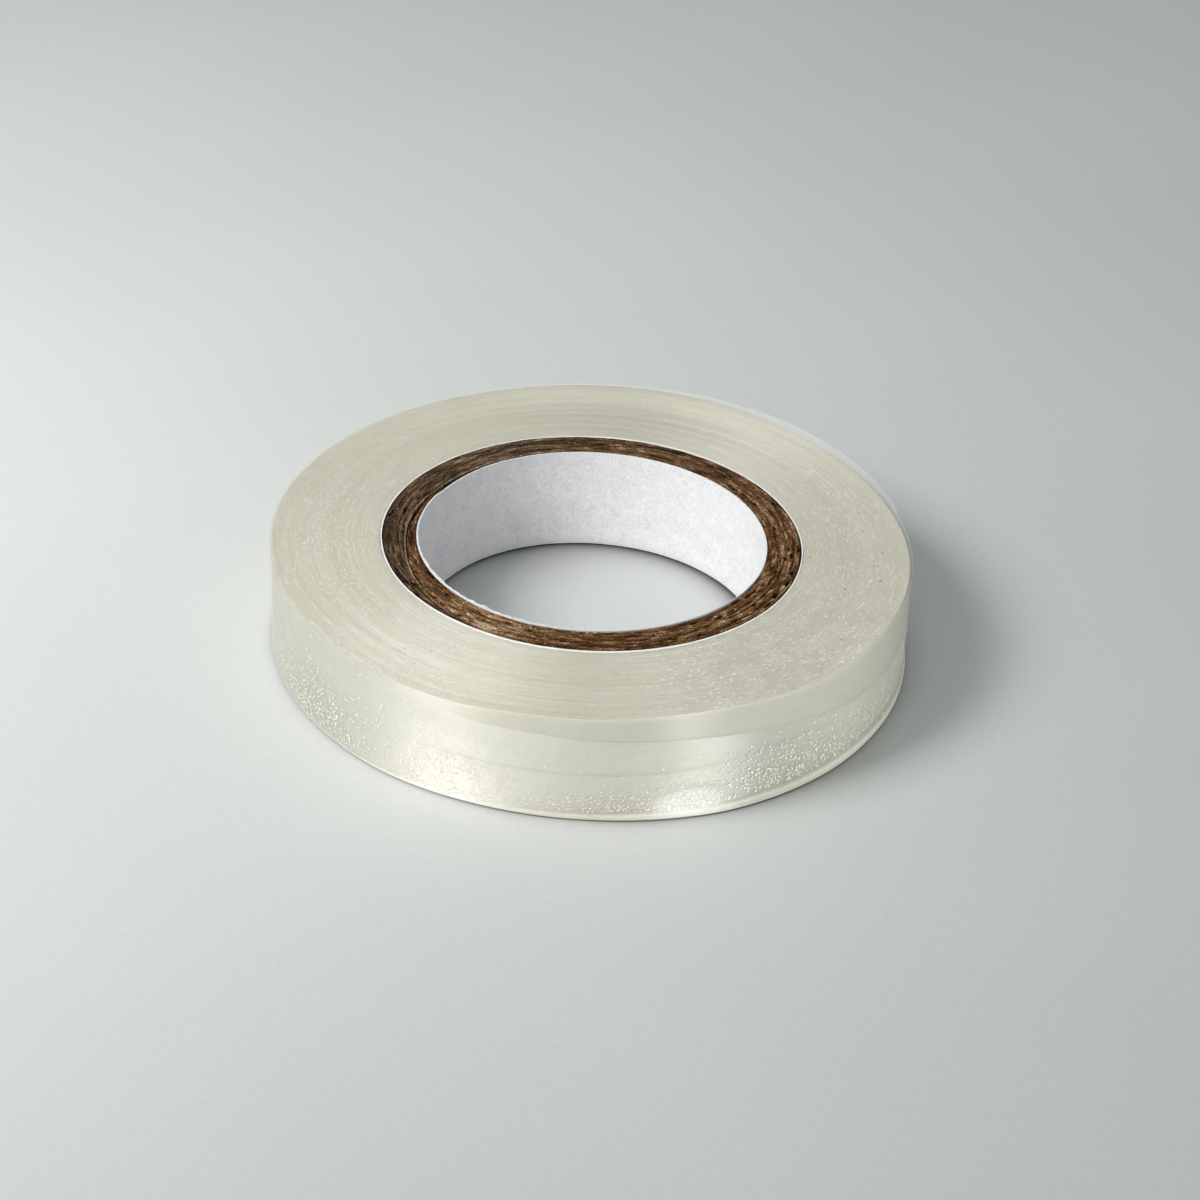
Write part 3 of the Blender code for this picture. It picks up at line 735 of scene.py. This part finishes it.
def make_wound():
    n = 600
    az = np.arange(n) * 360.0 / n
    flat, rim, wall, under = 112, 14, 30, 40
    r0 = (15.405 + 1.18 * outer_paper(az))[:, None]
    drop, width, lift = rim_drop(az), rim_width(az), face_lift(az)
    inset = FILM_T + 0.045
    brow = TOP + lift                                        # height of the upper face at the rim
    r1 = film_radius(az, brow) - inset
    foot = foot_radius(az)
    lip = np.maximum(film_bottom(az), 0.12)

    def ridges(r, seed):
        a = az[:, None] / 360.0
        coarse = fbm(a * 5, r / 0.55, seed, 3, 5) - 0.5
        turns = fbm(a * 11, r / 0.16, seed + 7, 3, 11) - 0.5
        scars = fbm(a * 260, r / 0.30, seed + 11, 2, 260) - 0.5
        return 0.050 * coarse + 0.030 * turns + 0.010 * scars

    sections_r, sections_z, sides = [], [], []
    # underside, from inside to outside
    t = np.linspace(0, 1, under, endpoint=False)[None, :]
    r = r0 + (foot[:, None] - 0.16 - r0) * t
    sections_r.append(r)
    sections_z.append(np.maximum(0.0, 0.02 + ridges(r, 211)))
    sides += [0] * under
    # wall: the lip it stands on, then up to where the rim starts to round over
    low_rows = np.array([0.0, 0.2, 0.4, 0.6, 0.78, 0.88, 0.94, 1.0, 1.06, 1.2, 1.4, 1.6, 1.85, 2.2])
    z2 = through(az, [(225, 3.88), (235, 3.82), (250, 3.70), (272, 3.62), (285, 3.66), (292, 3.80), (300, 4.0), (308, 4.08),
                      (316, 3.95), (326, 3.60), (338, 3.50), (352, 3.55), (360, 3.70)])
    z_low = lip[:, None] * low_rows[None, :] + 0.08 * (1 - np.minimum(low_rows, 1.0))[None, :]
    z_top = (brow - drop)[:, None]
    z_end = z_low[:, -1:] + (z_top - z_low[:, -1:]) * 0.985
    near = z2[:, None] + np.array([[-0.20, -0.10, 0.0, 0.10, 0.20]])
    below_line = z_low[:, -1:] + (near[:, :1] - z_low[:, -1:]) * np.arange(1, 6)[None, :] / 6.0
    above_line = near[:, -1:] + (z_end - near[:, -1:]) * np.arange(1, 7)[None, :] / 6.0
    z = np.concatenate([z_low, below_line, near, above_line], 1)
    plain = film_radius(az[:, None], z) - inset
    stand = 1 - smooth(0.90, 1.05, z / lip[:, None])
    shape = foot[:, None] - 0.05 * np.clip(z / lip[:, None], 0.0, 1.0) ** 2
    shape[:, 0] -= 0.06
    soft = 0.030 * (fbm(az[:, None] / 360.0 * 24, z / 2.0, 231, 3, 24) - 0.5)
    sections_r.append(plain + (np.maximum(shape, plain) - plain) * stand + soft * smooth(0.8, 1.6, z))
    sections_z.append(z)
    sides += [1] * wall
    # rounded rim
    t = np.linspace(0, 1, rim, endpoint=False)[None, :] * math.pi / 2
    z = brow[:, None] - drop[:, None] * (1 - np.sin(t))
    sections_r.append(film_radius(az[:, None], z) - inset - width[:, None] * (1 - np.cos(t)))
    sections_z.append(z)
    sides += [2] * rim
    # upper face, from outside to inside
    t = np.linspace(0, 1, flat)[None, :]
    r = (r1 - width)[:, None] + (r0 - (r1 - width)[:, None]) * t
    fade = smooth(0.0, 0.03, t)
    climb = np.maximum(lift, 0.0)[:, None] * (1 - smooth(0.0, 0.36, t)) + np.minimum(lift, 0.0)[:, None] * (1 - smooth(-0.1, 0.72, t))
    sections_r.append(r)
    sections_z.append(TOP + climb + fade * ridges(r, 201) - 0.06 * np.sin(t * math.pi) ** 2)
    sides += [3] * flat
    # bore side
    t = (1 - np.linspace(0, 1, 5)[1:-1])[None, :]
    sections_r.append(r0 + 0 * t)
    sections_z.append(0.03 + (TOP - 0.03) * t + 0 * az[:, None])
    sides += [3] * 3
    R, Z = np.concatenate(sections_r, 1), np.concatenate(sections_z, 1)
    sides = np.array(sides)
    # painted shade: the rim under the film's upper edge is darkened where it falls away behind the film
    band = np.where(sides == 2, 1.0, 0.0)[None, :] * (np.where((az > 150.0) & (az < 270.0), 0.75 * smooth(250.0, 276.0, az), smooth(0.0, 0.5, drop)) * (1 - 0.55 * smooth(278.0, 312.0, az)))[:, None]
    # painted highlight on the lip: its edges are paled, most where glint peaks round the roll
    rise = Z / lip[:, None]                                  # the lip: two bright edges with a darker line between them
    dull = 0.55 * np.exp(-((rise - 0.62) / 0.10) ** 2) + 0.60 * smooth(294.0, 318.0, az)[:, None] * np.exp(-((rise - 0.50) / 0.24) ** 2)
    glint = through(az, [(0, 0.40), (60, 0.55), (180, 0.75), (215, 0.75), (240, 0.70), (256, 0.40), (268, 0.08), (279, 0.12), (285, 0.50), (289, 1.0),
                         (294, 0.90), (300, 0.50), (308, 0.38), (330, 0.38)], 360.0)
    lip_painted_glint = (1 - smooth(0.92, 1.04, rise)) * (sides == 1) * np.clip(1 - dull, 0.0, 1.0) * glint[:, None]
    low_line = np.exp(-((Z - z2[:, None]) / 0.13) ** 2) * (smooth(234.0, 254.0, az) * (1 - smooth(304.0, 320.0, az)))[:, None]
    fades = np.where((az > 150.0) & (az < 270.0), smooth(238.0, 264.0, az), smooth(0.3, 1.0, drop))
    seam = 1.3 * low_line * (sides == 1) + np.exp(-((Z - (brow - drop)[:, None]) / 0.045) ** 2) * fades[:, None] * ((sides == 1) | (sides == 2))
    # painted light and shade: the face, wall and rim colours are made lighter or darker round the roll to follow the
    # light; the face is darker near its edge at the left, and the wall darker just above the lip
    face_shade = through(az, [(0, 1.02), (30, 1.07), (50, 1.04), (66, 1.0), (88, 0.91), (112, 0.97), (140, 0.98), (158, 0.95),
                              (185, 1.0), (211, 1.02), (236, 1.02), (249, 1.13), (258, 1.10), (271, 0.98), (290, 1.02),
                              (312, 0.97), (335, 1.0)], 360.0)
    wall_shade = through(az, [(0, 1.05), (90, 1.0), (160, 0.90), (182, 0.785), (197, 0.77), (210, 0.81), (226, 0.90), (245, 1.02),
                              (262, 0.93), (276, 0.96), (288, 1.10), (299, 0.87), (320, 1.19), (334, 1.04), (346, 0.90)], 360.0)
    rim_shade = through(az, [(0, 1.10), (9, 1.40), (20, 1.46), (45, 1.41), (64, 1.12), (100, 1.0), (150, 0.86), (190, 0.74), (230, 0.74), (241, 0.98), (250, 1.04), (258, 0.98), (266, 0.94),
                             (276, 0.94), (287, 1.04), (293, 1.08), (308, 1.08), (328, 1.04), (342, 0.89), (350, 0.81)], 360.0)
    # painted shade: the face darkened near its edge at the left
    near_rim = np.exp(-(((r1 - width)[:, None] - R) / 0.55) ** 2) * (smooth(140.0, 175.0, az) * (1 - smooth(258.0, 285.0, az)))[:, None]
    shade = np.where((sides == 1)[None, :], wall_shade[:, None], np.where((sides == 2)[None, :], rim_shade[:, None], face_shade[:, None] * (1 - 0.11 * near_rim)))
    above_lip = np.exp(-((Z - lip[:, None] - 0.20) / 0.17) ** 2) * (sides == 1) * (smooth(254.0, 268.0, az) * (0.6 + 0.4 * smooth(296.0, 314.0, az)))[:, None]
    shade = shade * (1 - 0.36 * above_lip)
    # painted highlight: the wall is paled where air lies under the layers and at the two bright patches at the front;
    # the rim is paled at those patches too
    haze_highlight = haze_and_highlight(az[:, None], Z) * (sides == 1) + (0.6 * patch(az, 0.0, 287.5, 5.0, 0.0, 1.0) + 0.9 * patch(az, 0.0, 244.0, 9.0, 0.0, 1.0))[:, None] * (sides == 2)
    dotted = bubbly(az[:, None], Z) * (sides == 1)
    gloss = (patch(az[:, None], Z, 244.0, 10.0, 1.2, 3.0) + 0.75 * patch(az[:, None], Z, 289.0, 7.0, 0.6, 2.4)) * (1 - smooth(3.2, 4.3, Z)) * (sides == 1)
    rule = [{1: 1, 2: 2}.get(k, 0) for k in sides]
    rule[under - 1:under + 7] = [2] * 8                      # the lip
    return sweep("wound_tape", polar(R, az[:, None], Z), True, [TAPE_FACE, TAPE_WALL, TAPE_RIM], 50.0,
                 {"band": band, "seam": seam, "haze_and_highlight": haze_highlight, "bubbly": dotted, "foot": lip_painted_glint, "shade": shade, "gloss": gloss}, rule)


def film_section(rows):
    """Section of a thin film as a loop: up the outer face, over the upper edge, down the inner face."""
    t = 0.5 - 0.5 * np.cos(np.linspace(0, math.pi, rows))
    up = np.concatenate([t, t[::-1]])
    out = np.concatenate([np.ones(rows), np.zeros(rows)])
    return up, out


def film_points(az, stand_off, seed):
    up, out = film_section(30)
    A, U, O = az[:, None], up[None, :], out[None, :]
    low, high = film_bottom(az)[:, None], film_top(az)[:, None]
    z = low + (high - low) * U
    gap = np.minimum(z - low, high - z)
    bead = 0.006 * np.exp(-(gap / 0.08) ** 2)
    sway = 0.014 * (fbm(A / 360.0 * 30, z / 3.0, seed, 3, 30) - 0.5)
    radius = film_radius(A, z) + stand_off + sway + np.where(O > 0.5, bead, -FILM_T - bead)
    # painted highlight along the upper and lower cut edges, set stronger round the front right and the back
    strong = through(az, [(0, 0.14), (15, 0.20), (60, 0.24), (78, 0.20), (100, 0.14), (125, 0.08), (250, 0.08), (280, 0.12),
                          (296, 0.45), (325, 0.45), (345, 0.22)], 360.0)[:, None]
    edge = np.exp(-((high - z) / 0.05) ** 2) * strong + np.exp(-((z - low) / 0.05) ** 2) * (0.20 + 0.60 * strong)
    brow = TOP + face_lift(az)[:, None]
    meet = brow - rim_drop(az)[:, None]
    contact = (1 - smooth(-0.35, 0.05, z - meet)) * smooth(0.15, 0.45, z - low)
    free = smooth(-0.25, 0.05, z - brow) * smooth(-0.6, 0.3, np.cos(np.radians(A - 50.0)))
    under_tail = smooth(TAIL_ROOT - 0.6, TAIL_ROOT + 0.6, A) * (1 - smooth(TAIL_ROOT + TAIL_STEP * TAIL_COUNT - 2.2, TAIL_ROOT + TAIL_STEP * TAIL_COUNT - 1.0, A))
    hidden = under_tail * (1 - smooth(-0.45, -0.15, z - brow)) * (stand_off < 0.01)
    loose_end = (stand_off > 0.01) * (1 - smooth(-0.60, -0.20, z - brow)) * smooth(TAIL_ROOT, TAIL_ROOT + 4.0, A)
    # the loose end's lower edge gets a painted highlight too
    edge = np.maximum(edge, 0.45 * loose_end * np.exp(-((z - low) / 0.06) ** 2))
    values = {"loose": loose_end, "hidden": hidden, "free": free, "froth": patch(A, z, 288.6, 6.0, 1.1, 1.15), "edge": edge, "contact": contact, "haze_and_highlight": haze_and_highlight(A, z), "bubbly": bubbly(A, z) * contact}
    return polar(radius, A, z), {k: v + 0 * radius for k, v in values.items()}


def make_film():
    n = 600
    az = np.arange(n) * 360.0 / n
    points, attributes = film_points(az, 0.0, 301)
    return sweep("outer_film", points, True, [FILM], 60.0, attributes)


def make_tail(index):
    first = TAIL_ROOT + TAIL_STEP * index
    az = np.linspace(first, first + TAIL_STEP, 31)
    last = index == TAIL_COUNT - 1
    points, attributes = film_points(az, FILM_T + 0.045, 301)
    if last:
        # the free end was torn across a toothed edge
        end = smooth(first + TAIL_STEP - 1.3, first + TAIL_STEP, az)[:, None]
        tooth = np.abs(((points[..., 2] / 0.9) % 1.0) - 0.5) * 2.0
        back = np.radians(0.9) * 23.7 * end * tooth
        a = np.radians(az)[:, None]
        points[..., 0] += np.sin(a) * back
        points[..., 1] -= np.cos(a) * back
        # the torn end gets a painted highlight along its edge
        attributes["edge"] = np.maximum(attributes["edge"], 0.6 * smooth(first + TAIL_STEP - 0.35, first + TAIL_STEP, az)[:, None])
    return sweep("tail_film_%d" % (index + 1), points, False, [FILM], 60.0, attributes)


def make_bubbles():
    rng = np.random.default_rng(42)
    sides = 8
    ring = np.arange(sides) * 2 * math.pi / sides
    count = 60000
    az = 112.0 + rng.random(count) * 258.0
    z = 0.3 + rng.random(count) * 7.4
    a = az % 360.0
    ceiling = TOP + face_lift(a) - rim_drop(a) - 0.22
    floor_z = film_bottom(a) + 0.22
    weight = 0.02 + 0.85 * bubbly(a, z) * (0.70 + 0.6 * value_noise(a / 2.5, z / 0.8, 401))
    keep = (z < ceiling) & (z > floor_z) & (rng.random(count) < weight * 0.27)
    size = 0.045 + 0.043 * rng.random(count) ** 1.8
    size = size * (0.84 + 0.18 * smooth(284.0, 300.0, a))
    # painted light: bubbles are brighter where the wall's highlights are and duller where no light catches them
    shine = through(a, [(0, 0.8), (180, 0.5), (220, 0.75), (245, 0.9), (256, 0.45), (276, 0.30), (286, 1.0), (296, 1.0), (330, 0.85)], 360.0)
    tall = size * (0.35 + 0.20 * rng.random(count))
    stretch = 1.0 + 0.5 * rng.random(count) ** 3
    radius = film_radius(a, z)
    points, faces, bright = [], [], []
    for i in np.nonzero(keep)[0]:
        turn = math.radians(a[i])
        n = np.array([math.cos(turn), math.sin(turn), 0.0])
        e = np.array([-math.sin(turn), math.cos(turn), 0.0])
        k = np.array([0.0, 0.0, 1.0])
        centre = n * (radius[i] - 0.008) + k * z[i]
        start = len(points)
        for share, lift in ((1.0, 0.0), (0.62, 0.72)):
            for angle in ring:
                points.append(centre + (e * math.cos(angle) * stretch[i] + k * math.sin(angle)) * size[i] * share + n * tall[i] * lift)
        points.append(centre + n * tall[i])
        bright += [shine[i]] * (2 * sides + 1)
        apex = start + 2 * sides
        for p in range(sides):
            q = (p + 1) % sides
            faces.append((start + p, start + q, start + sides + q, start + sides + p))
            faces.append((start + sides + p, start + sides + q, apex))
        faces.append(tuple(start + p for p in range(sides))[::-1])
    return mesh_object("air_bubbles", np.array(points), faces, [BUBBLE], 60.0, {"shine": bright})


inner_liner = make_inner_liner()
board = make_board()
outer_liner = make_outer_liner()
wound = make_wound()
film = make_film()
bubbles = make_bubbles()

for piece, slot, nodes in (
    (inner_liner, "white_paper", ["core_inner_liner"]),
    (board, "brown_board", ["core_board_ply_1", "core_board_ply_2", "core_board_ply_3", "core_board_ply_4"]),
    (outer_liner, "white_paper", ["core_outer_liner"]),
    (wound, "clear_tape", ["tape_wound_turns"]),
    (film, "clear_film", ["tape_outer_turn"]),
    (bubbles, "clear_film", []),
):
    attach(piece, "roll")
    if nodes:
        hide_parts(*nodes)

# each strip of the free end is made as its own mesh, set in world space, in place of the part's strip
for index in range(TAIL_COUNT):
    strip = make_tail(index)
    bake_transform(strip)
    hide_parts("tape_tail_%d" % (index + 1))


# ---------------------------------------------------------------- floor, light and camera

def make_floor():
    n, half = 25, 900.0
    line = np.linspace(-half, half, n)
    x, y = np.meshgrid(line, line, indexing="ij")
    points = np.stack([x, y, np.zeros_like(x)], -1).reshape(-1, 3)
    ids = np.arange(n * n).reshape(n, n)
    quads = np.stack([ids[:-1, :-1], ids[1:, :-1], ids[1:, 1:], ids[:-1, 1:]], -1).reshape(-1, 4).tolist()
    return mesh_object("floor", points, quads, [floor_material("pale_floor")], 60.0)


make_floor()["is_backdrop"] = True

scene = bpy.context.scene
world = bpy.data.worlds.new("studio")
scene.world = world
world.use_nodes = True
background = next(n for n in world.node_tree.nodes if n.type == "BACKGROUND")
background.inputs["Color"].default_value = (0.94, 0.985, 0.98, 1.0)
background.inputs["Strength"].default_value = 0.36


def soft_light(name, place, aim, size, power, colour, spread=180.0):
    data = bpy.data.lights.new(name, "AREA")
    data.spread = math.radians(spread)
    data.shape = "RECTANGLE"
    data.size, data.size_y = size[0] * MM, size[1] * MM
    data.energy = power
    data.color = colour
    obj = bpy.data.objects.new(name, data)
    bpy.context.scene.collection.objects.link(obj)
    at = Vector(place) * MM
    obj.location = at
    obj.rotation_euler = (Vector(aim) * MM - at).to_track_quat("-Z", "Y").to_euler()
    return obj


key = soft_light("key", (-182.0, -77.0, 188.0), (-74.0, 48.0, 0.0), (110.0, 110.0), 0.210, (1.0, 0.985, 0.955), 105.0)
fill_left = soft_light("fill_left", (-150.0, -240.0, 130.0), (0.0, 0.0, 4.0), (200.0, 130.0), 0.22, (1.0, 0.99, 0.96))
fill_right = soft_light("fill_right", (181.0, -236.0, 74.0), (0.0, 0.0, 4.0), (100.0, 110.0), 0.34, (1.0, 0.99, 0.96))

# the two fills are flagged off the floor
roll_only = bpy.data.collections.new("roll_only")
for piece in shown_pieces():
    roll_only.objects.link(piece)
outside_only = bpy.data.collections.new("outside_only")
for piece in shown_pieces():
    if piece is not inner_liner:
        outside_only.objects.link(piece)
fill_left.light_linking.receiver_collection = roll_only
fill_right.light_linking.receiver_collection = outside_only

ELEVATION, DISTANCE, FOCAL, ROLL = 30.59, 187.36, 2553.0, 3.01       # degrees, mm, pixels of a 1200 px frame, degrees
AIM_X, AIM_Y = 592.3, 536.5                                          # where the middle of the core's upper face lands

tilt = math.radians(ELEVATION)
target = np.array([0.0, 0.0, TOP])
eye = target + DISTANCE * np.array([0.0, -math.cos(tilt), math.sin(tilt)])
ahead = (target - eye) / DISTANCE
right = np.cross(ahead, (0.0, 0.0, 1.0))
right /= np.linalg.norm(right)
upward = np.cross(right, ahead)
base = np.array([right, -upward, ahead])
c, s = math.cos(math.radians(ROLL)), math.sin(math.radians(ROLL))
spin = np.array([[c, -s, 0.0], [s, c, 0.0], [0.0, 0.0, 1.0]])
ray = Vector(((AIM_X - 600.0) / FOCAL, (AIM_Y - 600.0) / FOCAL, 1.0)).normalized()
swing = np.array(Vector((0.0, 0.0, 1.0)).rotation_difference(ray).to_matrix())
world_to_camera = swing @ spin @ base
axes = np.stack([world_to_camera[0], -world_to_camera[1], -world_to_camera[2]], 1)

camera_data = bpy.data.cameras.new("camera")
camera_data.sensor_width = 36.0
camera_data.lens = FOCAL / 1200.0 * 36.0
camera_data.clip_start = 0.01
camera_data.clip_end = 10.0
camera = bpy.data.objects.new("camera", camera_data)
scene.collection.objects.link(camera)
matrix = Matrix.Identity(4)
for i in range(3):
    for j in range(3):
        matrix[i][j] = float(axes[i, j])
    matrix[i][3] = float(eye[i]) * MM
camera.matrix_world = matrix
scene.camera = camera

scene.view_settings.view_transform = "Standard"
scene.view_settings.look = "None"
